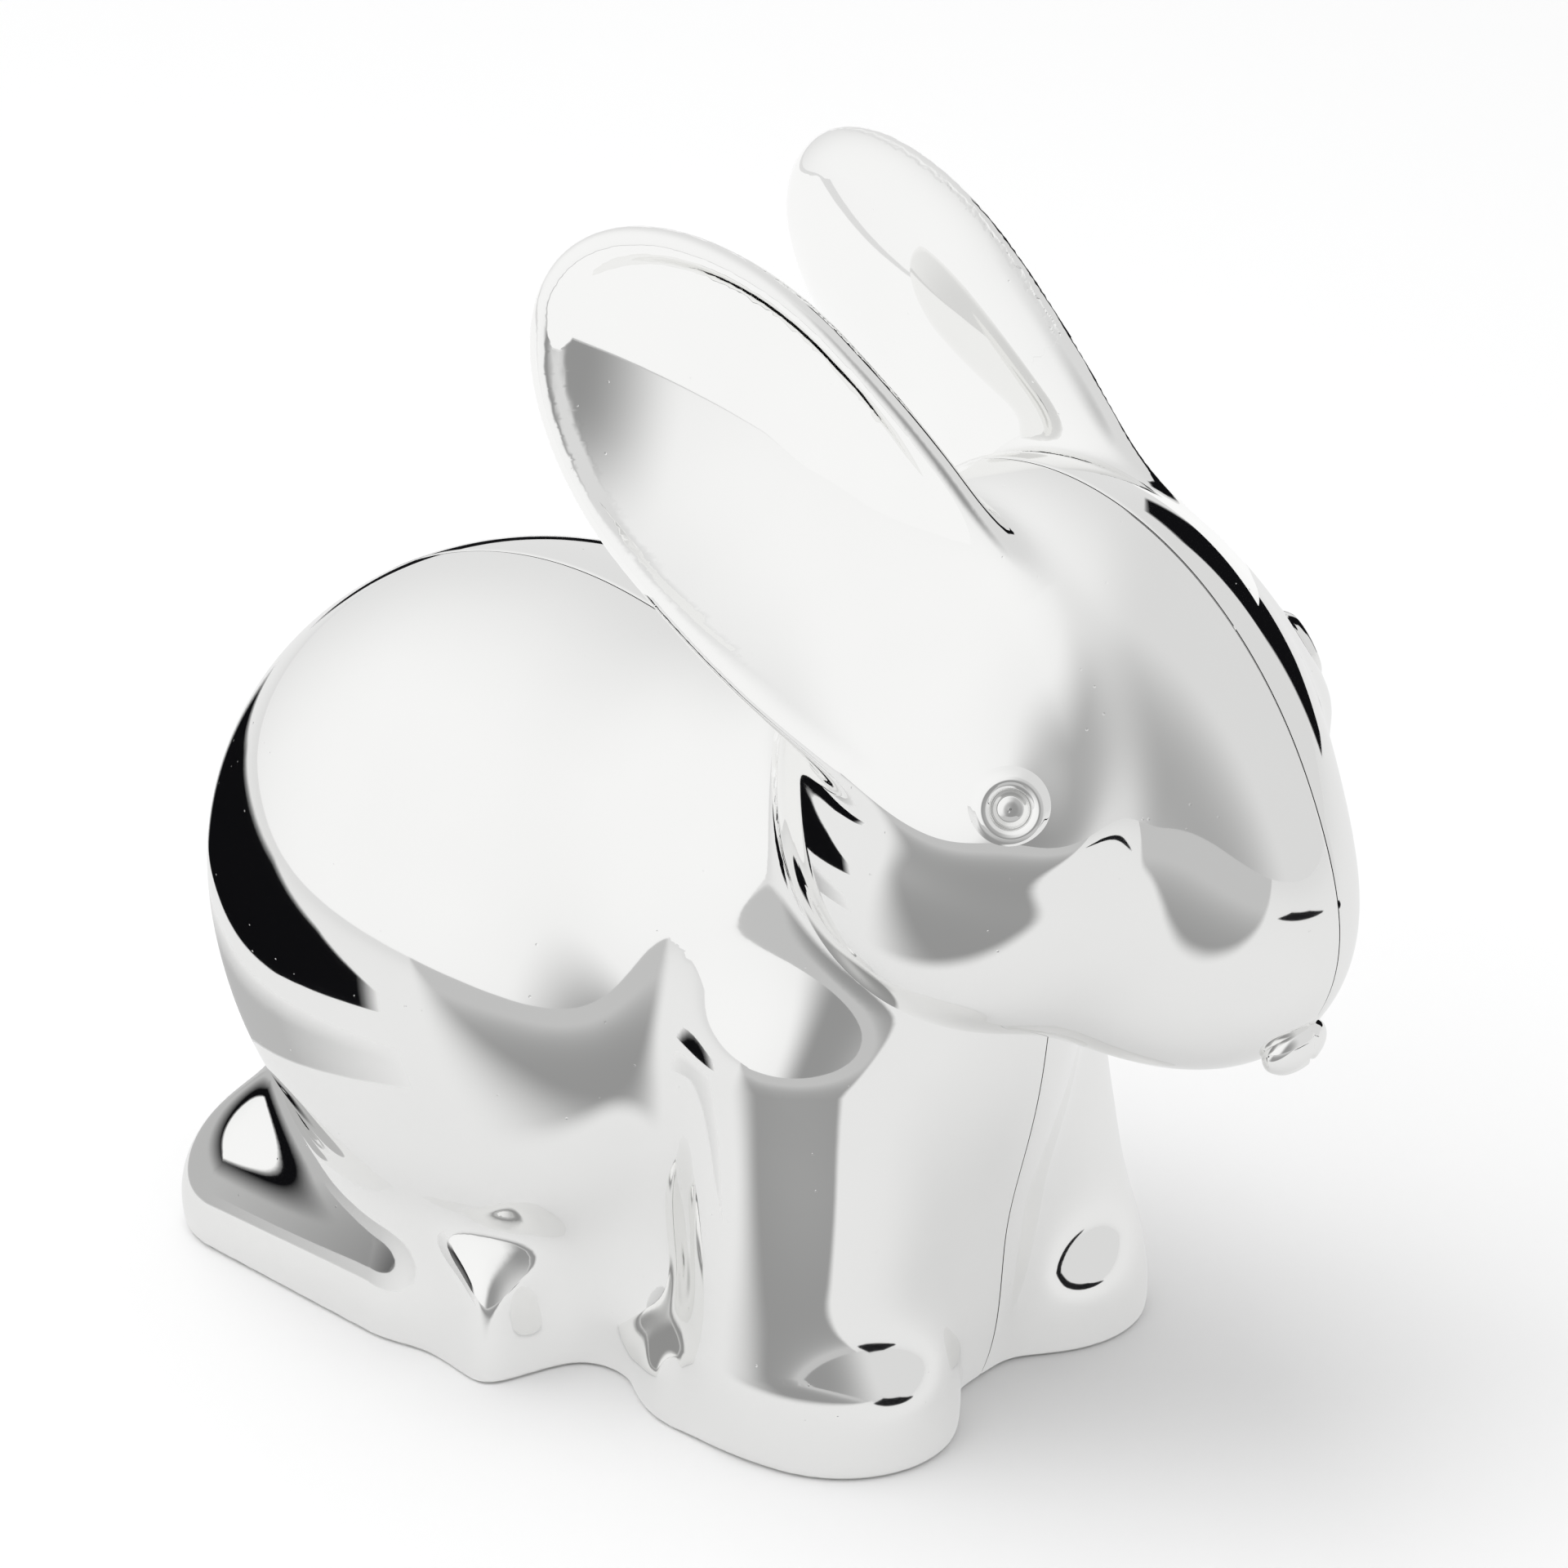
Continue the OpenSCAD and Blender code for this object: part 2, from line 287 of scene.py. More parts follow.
def body_casting(p):
    """The hollow body, soldered to the head by a fillet that runs out on the head's skin."""
    skin = skull_form(p) + SOLDER_DEPTH
    d = blend(body_form(p), skin, SOLDER_FILLET) + seam_groove(p)
    d = carve(d, -skin, 0.2)
    d = carve(d, -(body_form(p) + WALL), 0.6)
    return carve(d, -p[..., 2], 1.2)


# ---------------------------------------------------------------- skins

GRID, FINE_GRID = 0.62, 0.3       # spacing of the grid that the castings are found on
SLIDES, LONGEST_SLIDE = 8, 0.4    # slides of each vertex on to the surface, and the longest of them
LEAST_SLOPE = 0.05                # keeps a slide short where the form is nearly level


def steps(low, high, fine=()):
    """Grid places from low to high, closer together inside each (from, to) pair of fine."""
    places = [low]
    while places[-1] < high:
        near = any(a < places[-1] < b for a, b in fine)
        places.append(places[-1] + (FINE_GRID if near else GRID))
    return np.array(places)


def cast_skin(form, xs, ys, zs):
    """Skin of the right half of a form, where its distance changes sign on a grid.

    One vertex stands in each grid cell that the surface crosses, at the mean of the crossings on its
    edges, and slides down the gradient on to the surface. A four-sided face joins the four cells round
    each grid edge that crosses it. The last layer of cells lies flat on the seam plane y = -SEAM_HALF_GAP.
    Returns vertices, faces and one normal for each face corner.
    """
    axes = (xs, ys, zs)
    shape = tuple(len(a) for a in axes)
    value = np.empty(shape)
    for i in range(shape[0]):
        layer = np.stack(np.meshgrid([xs[i]], ys, zs, indexing="ij"), -1)
        value[i] = form(layer)[0]
    value[:, -1] = 1
    inside = value < 0
    cells = tuple(n - 1 for n in shape)
    total, count = np.zeros(cells + (3,)), np.zeros(cells)
    for axis in range(3):
        others = [a for a in range(3) if a != axis]
        gap = np.diff(axes[axis]).reshape([-1 if a == axis else 1 for a in range(3)])
        for i in (0, 1):
            for j in (0, 1):
                low = [slice(0, n) for n in cells]
                high = list(low)
                high[axis] = slice(1, cells[axis] + 1)
                for other, o in zip(others, (i, j)):
                    low[other] = high[other] = slice(o, cells[other] + o)
                a, b = value[tuple(low)], value[tuple(high)]
                crossed = (a < 0) != (b < 0)
                t = np.where(crossed, a / np.where(crossed, a - b, 1), 0)
                spot = np.stack(np.meshgrid(*[axes[k][low[k]] for k in range(3)], indexing="ij"), -1)
                spot[..., axis] += t * gap
                total += spot * crossed[..., None]
                count += crossed
    used = count > 0
    number = np.full(cells, -1)
    number[used] = np.arange(used.sum())
    where = np.stack(np.nonzero(used), -1)
    points = total[used] / count[used][:, None]

    flat = where[:, 1] == cells[1] - 1
    points[flat, 1] = -SEAM_HALF_GAP
    corners = [inside[where[:, 0] + i, where[:, 1], where[:, 2] + k] for i in (0, 1) for k in (0, 1)]
    free = ~(flat & np.logical_and.reduce(corners))
    for _ in range(SLIDES):
        g = slopes(form, points[free])
        g[flat[free], 1] = 0
        push = form(points[free]) / np.maximum((g * g).sum(-1), LEAST_SLOPE)
        points[free] -= np.clip(push, -LONGEST_SLIDE, LONGEST_SLIDE)[:, None] * g

    faces, capped = [], []
    for axis in range(3):
        o1, o2 = (axis + 1) % 3, (axis + 2) % 3
        low, high = [slice(None)] * 3, [slice(None)] * 3
        low[axis], high[axis] = slice(0, cells[axis]), slice(1, cells[axis] + 1)
        for s in (low, high):
            s[o1], s[o2] = slice(1, cells[o1]), slice(1, cells[o2])
        a, b = inside[tuple(low)], inside[tuple(high)]
        at = np.stack(np.nonzero(a != b), -1)
        at[:, o1] += 1
        at[:, o2] += 1

        def cell(back1, back2):
            c = at.copy()
            c[:, o1] -= back1
            c[:, o2] -= back2
            return number[c[:, 0], c[:, 1], c[:, 2]]

        quads = np.stack([cell(1, 1), cell(0, 1), cell(0, 0), cell(1, 0)], -1)
        turned = ~a[a != b]
        quads[turned] = quads[turned][:, ::-1]
        faces.append(quads)
        capped.append(flat[quads].all(-1))
    faces, capped = np.concatenate(faces), np.concatenate(capped)
    normals = outward(form, points)[faces]
    normals[capped] = (0, 1, 0)
    return points, faces, normals


def surface_rows(rows, closed=True):
    """Four-sided faces over a grid of points, rows x columns, with the columns joined up if closed."""
    n, m = rows.shape[:2]
    index = np.arange(n * m).reshape(n, m)
    nxt = np.roll(index, -1, 1) if closed else index[:, 1:]
    cur = index if closed else index[:, :-1]
    return np.stack([cur[:-1], nxt[:-1], nxt[1:], cur[1:]], -1).reshape(-1, 4)


def in_frame(points):
    """Drawn points, in millimetres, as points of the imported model, in metres."""
    return (points * STRETCH + SHIFT) * MM


def link(name, data):
    """An object at the origin that holds a mesh, a light or a camera."""
    made = bpy.data.objects.new(name, data)
    bpy.context.scene.collection.objects.link(made)
    return made


def make_casting(name, points, faces, normals):
    """A smooth piece from a skin's points, four-sided faces and one normal for each face corner."""
    mesh = bpy.data.meshes.new(name)
    mesh.vertices.add(len(points))
    mesh.vertices.foreach_set("co", in_frame(points).astype(np.float32).ravel())
    sides = faces.shape[1]
    mesh.loops.add(faces.size)
    mesh.loops.foreach_set("vertex_index", faces.astype(np.int32).ravel())
    mesh.polygons.add(len(faces))
    mesh.polygons.foreach_set("loop_start", np.arange(0, faces.size, sides, dtype=np.int32))
    mesh.polygons.foreach_set("use_smooth", np.ones(len(faces), bool))
    mesh.update(calc_edges=True)
    mesh.validate()
    mesh.normals_split_custom_set(normals.reshape(-1, 3).tolist())
    piece = link(name, mesh)
    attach(piece, "bank")
    return piece


def make_small_piece(name, points, faces, replaced):
    """A small smooth piece in bright silver plate."""
    mesh = bpy.data.meshes.new(name)
    mesh.from_pydata(in_frame(points).tolist(), [], faces)
    mesh.polygons.foreach_set("use_smooth", np.ones(len(mesh.polygons), bool))
    mesh.materials.append(silver)
    piece = link(name, mesh)
    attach(piece, "bank")
    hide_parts(replaced)


def other_side(points, faces, normals):
    """The mirror image across the middle plane, with each face's corners in turned order."""
    flip = np.array([1, -1, 1])
    return points * flip, faces[:, ::-1], normals[:, ::-1] * flip


RIM_NEAR = 0.4    # how near the ear's own surface a point counts as on the ear
RIM_FROM = 14     # how far along the ear the pitted line begins
OFF_THE_RIM = 20  # a height that no pitted line reaches


def pair(name, skin, replaced, material, rim=False):
    """Right and left pieces from a right-hand skin; rim adds the fields that the pitted line follows."""
    for side, (points, faces, normals) in (("right", skin), ("left", other_side(*skin))):
        piece = make_casting(f"{name}_{side}", points, faces, normals)
        piece.data.materials.append(material)
        if rim:
            outside, height, _ = ear_sheet(points)
            on_ear = (ear_form(points) < RIM_NEAR) & (ear_coordinates(points)[0] > RIM_FROM)
            height = np.where(on_ear, height, OFF_THE_RIM)
            for label, values in (("rim_height", height), ("rim_outside", outside)):
                field = piece.data.attributes.new(label, "FLOAT", "POINT")
                field.data.foreach_set("value", values.astype(np.float32))
        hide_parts(*[node.format(side) for node in replaced])


# ---------------------------------------------------------------- materials

def linear(code):
    """Linear colour from an sRGB hex value."""
    part = np.array([int(code[i:i + 2], 16) for i in (1, 3, 5)]) / 255
    value = np.where(part <= 0.04045, part / 12.92, ((part + 0.055) / 1.055) ** 2.4)
    return tuple(value) + (1.0,)


def add(tree, kind, links=None, **settings):
    """Adds a node with its settings and links; a setting is a property or an input's name or number."""
    node = tree.nodes.new(kind)
    for key, value in settings.items():
        if hasattr(node, key):
            setattr(node, key, value)
        else:
            node.inputs[key.replace("_", " ")].default_value = value
    for key, socket in (links or {}).items():
        tree.links.new(socket, node.inputs[key])
    return node


def new_material(name):
    """A material, its node tree and its shader."""
    material = bpy.data.materials.new(name)
    material.use_nodes = True
    tree = material.node_tree
    return material, tree, tree.nodes["Principled BSDF"]


def bright_silver_plate(name, rim=False):
    """Electroplated silver, buffed to a mirror.

    The eye sees the room in it, with a faint waviness from the casting under the plate, a few pin holes,
    and on the ears a line of pits where front and back were soldered along the rim.
    """
    material, tree, shader = new_material(name)
    place = add(tree, "ShaderNodeTexCoord").outputs["Object"]
    wave_mm, pin_mm, haze_mm = 7.0, 2.2, 14.0
    ragged_mm, pit_mm = 0.9, 0.7
    roughness = 0.035
    haze = add(tree, "ShaderNodeTexNoise", {"Vector": place}, Scale=1 / (haze_mm * MM), Detail=3.0)
    tone = add(tree, "ShaderNodeMix", {"Factor": haze.outputs["Fac"]}, data_type="RGBA")
    tone.inputs["A"].default_value = linear("#F8F8F7")
    tone.inputs["B"].default_value = linear("#F4F4F3")
    tree.links.new(tone.outputs["Result"], shader.inputs["Base Color"])
    shader.inputs["Metallic"].default_value = 1.0
    rough = add(tree, "ShaderNodeMapRange", {"Value": haze.outputs["Fac"]})
    rough.inputs["To Min"].default_value = roughness * 0.6
    rough.inputs["To Max"].default_value = roughness * 1.5
    tree.links.new(rough.outputs["Result"], shader.inputs["Roughness"])

    wave = add(tree, "ShaderNodeTexNoise", {"Vector": place}, Scale=1 / (wave_mm * MM), Detail=2.0)
    bump = add(tree, "ShaderNodeBump", {"Height": wave.outputs["Fac"]}, Strength=1.0,
               Distance=0.008 * MM)
    pins = add(tree, "ShaderNodeTexVoronoi", {"Vector": place}, Scale=1 / (pin_mm * MM),
               Randomness=1.0)
    dots = add(tree, "ShaderNodeMapRange", {"Value": pins.outputs["Distance"]})
    dots.inputs["From Min"].default_value = 0.03
    dots.inputs["From Max"].default_value = 0.06
    bump = add(tree, "ShaderNodeBump",
               {"Height": dots.outputs["Result"], "Normal": bump.outputs["Normal"]},
               Strength=1.0, Distance=0.01 * MM)
    if rim:
        height = add(tree, "ShaderNodeAttribute", attribute_name="rim_height").outputs["Fac"]
        outside = add(tree, "ShaderNodeAttribute", attribute_name="rim_outside").outputs["Fac"]
        ragged = add(tree, "ShaderNodeTexNoise", {"Vector": place}, Scale=1 / (ragged_mm * MM),
                     Detail=4.0)
        shifted = add(tree, "ShaderNodeMath", {0: height, 1: ragged.outputs["Fac"]}, operation="ADD")
        off = add(tree, "ShaderNodeMath", {0: shifted.outputs[0]}, operation="SUBTRACT")
        off.inputs[1].default_value = 0.5
        away = add(tree, "ShaderNodeMath", {0: off.outputs[0]}, operation="ABSOLUTE")
        line = add(tree, "ShaderNodeMapRange", {"Value": away.outputs[0]})
        for key, value in (("From Min", 0.05), ("From Max", 0.3), ("To Min", 1.0), ("To Max", 0.0)):
            line.inputs[key].default_value = value
        edge = add(tree, "ShaderNodeMapRange", {"Value": outside})
        for key, value in (("From Min", -1.1), ("From Max", -0.5), ("To Min", 0.0), ("To Max", 1.0)):
            edge.inputs[key].default_value = value
        crumbs = add(tree, "ShaderNodeTexVoronoi", {"Vector": place}, Scale=1 / (pit_mm * MM),
                     Randomness=1.0)
        patchy = add(tree, "ShaderNodeMath", {0: line.outputs["Result"], 1: edge.outputs["Result"]},
                     operation="MULTIPLY")
        pits = add(tree, "ShaderNodeMath", {0: patchy.outputs[0], 1: crumbs.outputs["Distance"]},
                   operation="MULTIPLY")
        bump = add(tree, "ShaderNodeBump",
                   {"Height": pits.outputs[0], "Normal": bump.outputs["Normal"]},
                   Strength=1.0, Distance=0.12 * MM, invert=True)
    tree.links.new(bump.outputs["Normal"], shader.inputs["Normal"])
    return material


def satin_silver_plate():
    """The bottom plate: stamped sheet, plated but not buffed, with soft rolling lines and no picture."""
    material, tree, shader = new_material("satin_silver_plate")
    place = add(tree, "ShaderNodeTexCoord").outputs["Object"]
    grain = add(tree, "ShaderNodeMapping", {"Vector": place})
    grain.inputs["Scale"].default_value = (0.04, 1, 1)
    line_mm = 0.5
    lines = add(tree, "ShaderNodeTexNoise", {"Vector": grain.outputs[0]}, Scale=1 / (line_mm * MM),
                Detail=4.0)
    shader.inputs["Base Color"].default_value = linear("#DEDDD8")
    shader.inputs["Metallic"].default_value = 1.0
    rough = add(tree, "ShaderNodeMapRange", {"Value": lines.outputs["Fac"]})
    rough.inputs["To Min"].default_value = 0.22
    rough.inputs["To Max"].default_value = 0.4
    tree.links.new(rough.outputs["Result"], shader.inputs["Roughness"])
    bump = add(tree, "ShaderNodeBump", {"Height": lines.outputs["Fac"]}, Strength=0.6,
               Distance=0.01 * MM)
    tree.links.new(bump.outputs["Normal"], shader.inputs["Normal"])
    return material


def soft_black_pvc():
    """The stopper: injection-moulded PVC, dull black with a slightly greasy sheen and fine mould grain."""
    material, tree, shader = new_material("soft_black_pvc")
    place = add(tree, "ShaderNodeTexCoord").outputs["Object"]
    grain_mm = 0.4
    grain = add(tree, "ShaderNodeTexNoise", {"Vector": place}, Scale=1 / (grain_mm * MM), Detail=3.0)
    tone = add(tree, "ShaderNodeMix", {"Factor": grain.outputs["Fac"]}, data_type="RGBA")
    tone.inputs["A"].default_value = linear("#1C1C1E")
    tone.inputs["B"].default_value = linear("#262628")
    tree.links.new(tone.outputs["Result"], shader.inputs["Base Color"])
    rough = add(tree, "ShaderNodeMapRange", {"Value": grain.outputs["Fac"]})
    rough.inputs["To Min"].default_value = 0.42
    rough.inputs["To Max"].default_value = 0.6
    tree.links.new(rough.outputs["Result"], shader.inputs["Roughness"])
    bump = add(tree, "ShaderNodeBump", {"Height": grain.outputs["Fac"]}, Strength=0.5,
               Distance=0.02 * MM)
    tree.links.new(bump.outputs["Normal"], shader.inputs["Normal"])
    return material


silver = bright_silver_plate("bright_silver_plate")
silver_with_rim = bright_silver_plate("bright_silver_plate_with_rim", rim=True)
satin = satin_silver_plate()
pvc = soft_black_pvc()


# ---------------------------------------------------------------- castings

SEAM_SIDE = [-1.25, -0.85, -0.6, -0.42, -0.28, -0.15, 0.05]   # closer and closer to the middle plane
body_skin = cast_skin(body_casting, steps(-61, 33), np.append(steps(-33, -1.9), SEAM_SIDE),
                      steps(-0.8, 73, [(-1, 1.5)]))
head_skin = cast_skin(head_casting, steps(-14.5, 61.5, [(35, 45)]),
                      np.append(steps(-28, -1.9), SEAM_SIDE), steps(36.5, 111, [(63.5, 74)]))
pair("body", body_skin, ["body_{}_shell"], silver)
pair("head", head_skin, ["head_{}_shell", "ear_{}"], silver_with_rim, rim=True)


# ---------------------------------------------------------------- eyes

TURNS = 96     # points once round an eye ring or the nose
PROFILE = 99   # points along an eye ring's profile


def eye_skin():
    """A turned ring: radius and height go along a smooth profile, carried once round the cheek's normal.

    Its first and last points of the profile lie on the axis, in the middle of the ring and of its back.
    """
    radius = [0, 0.6, 1.1, 1.42, 1.55, 1.62, 1.75, 2.05, 2.45, 2.85, 3.25, 3.6, 3.8, 3.7, 2.6]
    height = [0.25, 0.22, 0.1, -0.12, -0.2, 0.35, 0.75, 1.0, 1.08, 0.95, 0.62, 0.24, 0.0, -0.4, -0.6]
    t = np.linspace(0, len(radius) - 1, PROFILE)
    smooth = [np.interp(t, range(len(radius)), values) for values in (radius, height)]
    kernel = np.array([1, 2, 3, 2, 1]) / 9
    r, h = (np.concatenate([v[:2], np.convolve(v, kernel, "valid"), v[-2:]]) for v in smooth)
    across = unit(np.cross(EYE_OUT, [0, 0, 1]))
    up = np.cross(across, EYE_OUT)
    angle = np.linspace(0, 2 * np.pi, TURNS, endpoint=False)
    rows = (EYE_POINT + h[1:, None, None] * EYE_OUT
            + r[1:, None, None] * (np.cos(angle)[:, None] * across + np.sin(angle)[:, None] * up))
    centres = [EYE_POINT + h[0] * EYE_OUT, EYE_POINT + h[-1] * EYE_OUT]
    points = np.concatenate([rows.reshape(-1, 3), centres])
    faces = surface_rows(rows)[:, ::-1]
    return points, faces, end_fans(len(rows), len(points))


def end_fans(row_count, point_count):
    """Three-sided faces that join the last two points to the first row and to the last row."""
    first = np.arange(TURNS)
    last = first + (row_count - 1) * TURNS
    return np.concatenate([np.stack([np.full(TURNS, point_count - 2), np.roll(first, -1), first], -1),
                           np.stack([np.full(TURNS, point_count - 1), last, np.roll(last, -1)], -1)])


def make_eye(side):
    """The right eye ring, or its mirror image on the left."""
    points, faces, ends = eye_skin()
    if side == "left":
        points = points * np.array([1, -1, 1])
        faces, ends = faces[:, ::-1], ends[:, ::-1]
    make_small_piece(f"eye_{side}_ring", points, faces.tolist() + ends.tolist(), f"eye_{side}")


for side in ("right", "left"):
    make_eye(side)


# ---------------------------------------------------------------- nose

NOSE_AT = np.array([55.2, 0, 43.0])
NOSE_RADII = np.array([2.0, 3.6, 2.9])
NOSE_ROWS = 64
NOSE_TIP = 35                              # degrees that the nose is tipped
STROKE_WIDTH, STROKE_DEPTH = 0.22, 0.45    # of the pressed Y


def nose_skin():
    """A small cushion: an ellipsoid flattened towards the face, with a Y pressed into its front.

    A point is centre + radii * (sin b, cos b cos a, cos b sin a), and the whole is then tipped. The three
    strokes of the Y push the front back by a Gaussian of the distance to each stroke.
    """
    b = np.linspace(-np.pi / 2, np.pi / 2, NOSE_ROWS)[1:-1]
    a = np.linspace(0, 2 * np.pi, TURNS, endpoint=False)
    front = np.stack([np.sin(b)[:, None] * np.ones(TURNS), np.cos(b)[:, None] * np.cos(a),
                      np.cos(b)[:, None] * np.sin(a)], -1)
    poles = np.array([[-1.0, 0, 0], [1, 0, 0]])
    every = np.concatenate([front.reshape(-1, 3), poles])
    y, z = every[:, 1] * NOSE_RADII[1], every[:, 2] * NOSE_RADII[2]

    def stroke(y0, z0, y1, z1):
        """A Gaussian of the distance to the line from one place on the front to another."""
        start, way = np.array([y0, z0]), np.array([y1 - y0, z1 - z0])
        q = np.stack([y, z], -1) - start
        t = np.clip(q @ way / (way @ way), 0, 1)
        return np.exp(-((q - t[:, None] * way) ** 2).sum(-1) / STROKE_WIDTH ** 2)

    pressed = np.maximum.reduce([stroke(0, 0.6, 0, 3.5), stroke(0, 0.6, -2.3, -2.2),
                                 stroke(0, 0.6, 2.3, -2.2)])
    every = every * NOSE_RADII
    every[:, 0] -= pressed * STROKE_DEPTH * (every[:, 0] > 0)
    c, s = np.cos(np.radians(NOSE_TIP)), np.sin(np.radians(NOSE_TIP))
    every = every @ np.array([[c, 0, -s], [0, 1, 0], [s, 0, c]])
    return every + NOSE_AT, surface_rows(front), end_fans(len(front), len(every))


points, faces, ends = nose_skin()
make_small_piece("nose", points, faces.tolist() + ends.tolist(), "nose_pad")


# ---------------------------------------------------------------- bottom plate and stopper

for node, material in (("base_plate", satin), ("stopper", pvc)):
    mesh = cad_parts[node].data
    mesh.materials.clear()
    mesh.materials.append(material)


# ---------------------------------------------------------------- studio

def stage_mesh(name, points, faces, material):
    """A part of the set, with points in metres."""
    mesh = bpy.data.meshes.new(name)
    mesh.from_pydata(points, [], faces)
    mesh.materials.append(material)
    piece = link(name, mesh)
    return piece


def floor_paper():
    """Matt white background paper."""
    material, _, shader = new_material("white_background_paper")
    shader.inputs["Base Color"].default_value = linear("#F8F8F8")
    shader.inputs["Roughness"].default_value = 0.85
    shader.inputs["Specular IOR Level"].default_value = 0.1
    return material


def card(name, code):
    """Glowing card at the side of the set, a painted reflection, thinning out where its cover falls to 0.
    """
    material, tree, shader = new_material(name)
    tree.nodes.remove(shader)
    glow = add(tree, "ShaderNodeEmission", Strength=1.0)
    glow.inputs["Color"].default_value = linear(code)
    clear = add(tree, "ShaderNodeBsdfTransparent")
    cover = add(tree, "ShaderNodeAttribute", attribute_name="cover").outputs["Fac"]
    mixed = add(tree, "ShaderNodeMixShader", {0: cover, 1: clear.outputs[0], 2: glow.outputs[0]})
    tree.links.new(mixed.outputs[0], tree.nodes["Material Output"].inputs[0])
    return material


def fading_card():
    """Painted shade of the unlit floor on the rabbit's right, seen only in the silver: clear by the
    rabbit, then grey, paler with distance.

    Towards the tail it is a thin pale veil instead of the grey, which paints the floor's reflection a
    little dimmer.
    """
    material, tree, shader = new_material("painted_floor_shade_card")
    tree.nodes.remove(shader)
    place = add(tree, "ShaderNodeTexCoord").outputs["Object"]
    nearest = add(tree, "ShaderNodeVectorMath", {0: place}, operation="DOT_PRODUCT")
    nearest.inputs[1].default_value = (-0.2, -0.98, 0)
    begins = add(tree, "ShaderNodeMapRange", {"Value": nearest.outputs["Value"]},
                 interpolation_type="SMOOTHSTEP")
    noseward = add(tree, "ShaderNodeVectorMath", {0: place}, operation="DOT_PRODUCT")
    noseward.inputs[1].default_value = (0.93, -0.36, 0)
    side = add(tree, "ShaderNodeMapRange", {"Value": noseward.outputs["Value"]},
               interpolation_type="SMOOTHSTEP")
    far = add(tree, "ShaderNodeVectorMath", {0: place}, operation="LENGTH")
    tone = add(tree, "ShaderNodeMapRange", {"Value": far.outputs["Value"]},
               interpolation_type="SMOOTHSTEP")
    for node, low, high in ((begins, 44, 58), (side, 0, 50), (tone, 70, 420)):
        node.inputs["From Min"].default_value = low * MM
        node.inputs["From Max"].default_value = high * MM
    # painted shade: the grey glow stands in for the unlit floor in the silver's reflection
    colour = add(tree, "ShaderNodeMix", {"Factor": tone.outputs["Result"]}, data_type="RGBA")
    colour.inputs["A"].default_value = linear("#989898")
    colour.inputs["B"].default_value = linear("#C6C6C6")
    glow = add(tree, "ShaderNodeEmission", {"Color": colour.outputs["Result"]})
    cover = add(tree, "ShaderNodeMath", {0: begins.outputs["Result"], 1: side.outputs["Result"]},
                operation="MULTIPLY")
    clear = add(tree, "ShaderNodeBsdfTransparent")
    # painted shade: a pale glow over 65 % of the clear dims the floor's reflection elsewhere
    pale = add(tree, "ShaderNodeEmission", Color=linear("#E2E2E2"))
    dimming_veil = add(tree, "ShaderNodeMixShader", {1: clear.outputs[0], 2: pale.outputs[0]})
    dimming_veil.inputs[0].default_value = 0.65
    mixed = add(tree, "ShaderNodeMixShader",
                {0: cover.outputs[0], 1: dimming_veil.outputs[0], 2: glow.outputs[0]})
    tree.links.new(mixed.outputs[0], tree.nodes["Material Output"].inputs[0])
    return material


def upper_side_card(name, code):
    """A glowing card, a painted reflection, that shows only to what is above it, as the floor does, and is
    clear from below.
    """
    material, tree, shader = new_material(name)
    tree.nodes.remove(shader)
    glow = add(tree, "ShaderNodeEmission", Strength=1.0)
    glow.inputs["Color"].default_value = linear(code)
    behind = add(tree, "ShaderNodeNewGeometry").outputs["Backfacing"]
    clear = add(tree, "ShaderNodeBsdfTransparent")
    mixed = add(tree, "ShaderNodeMixShader", {0: behind, 1: glow.outputs[0], 2: clear.outputs[0]})
    tree.links.new(mixed.outputs[0], tree.nodes["Material Output"].inputs[0])
    return material


def only_in_silver(piece):
    """Leaves a card in mirror reflections alone, as a painted reflection."""
    piece.visible_camera = False
    piece.visible_diffuse = False
    piece.visible_shadow = False
    piece.visible_transmission = False


def band(name, code, radius, azimuths, lows, highs, soft=0.06):
    """A curved glowing card round the set, a painted reflection, from low to high, in millimetres, at each
    azimuth, in degrees.

    Its cover is 1 in the middle and falls to 0 at its ends and its top, over the share soft of its size.
    """
    along, up = np.linspace(0, 1, 61), np.linspace(0, 1, 25)
    turn = azimuths[0] + (azimuths[-1] - azimuths[0]) * along
    low, high = np.interp(turn, azimuths, lows), np.interp(turn, azimuths, highs)
    height = low + (high - low) * up[:, None]
    x, y = radius * np.cos(np.radians(turn)), radius * np.sin(np.radians(turn))
    rows = np.stack([x + 0 * height, y + 0 * height, height], -1)
    ends, top = np.minimum(along, 1 - along), 1 - up[:, None]
    cover = np.clip(ends / soft, 0, 1) * np.clip(top / soft, 0, 1)
    piece = stage_mesh(name, (rows.reshape(-1, 3) * MM).tolist(), surface_rows(rows, False).tolist(),
                       card(name + "_card", code))
    field = piece.data.attributes.new("cover", "FLOAT", "POINT")
    field.data.foreach_set("value", cover.ravel().astype(np.float32))
    only_in_silver(piece)


def lying(name, glow, corners):
    """A flat card, seen only in the silver as a painted reflection; corners go round it in millimetres."""
    points = [(x * MM, y * MM, z * MM) for x, y, z in corners]
    only_in_silver(stage_mesh(name, points, [tuple(range(len(corners)))], glow))


FLOOR = 4.0     # half the side of the floor, in metres
CARD = 3900     # half the side of the card on it
ABOVE = 0.4     # how far the card is above the floor
stage_mesh("floor", [(-FLOOR, -FLOOR, 0), (FLOOR, -FLOOR, 0), (FLOOR, FLOOR, 0), (-FLOOR, FLOOR, 0)],
           [(0, 1, 2, 3)], floor_paper())
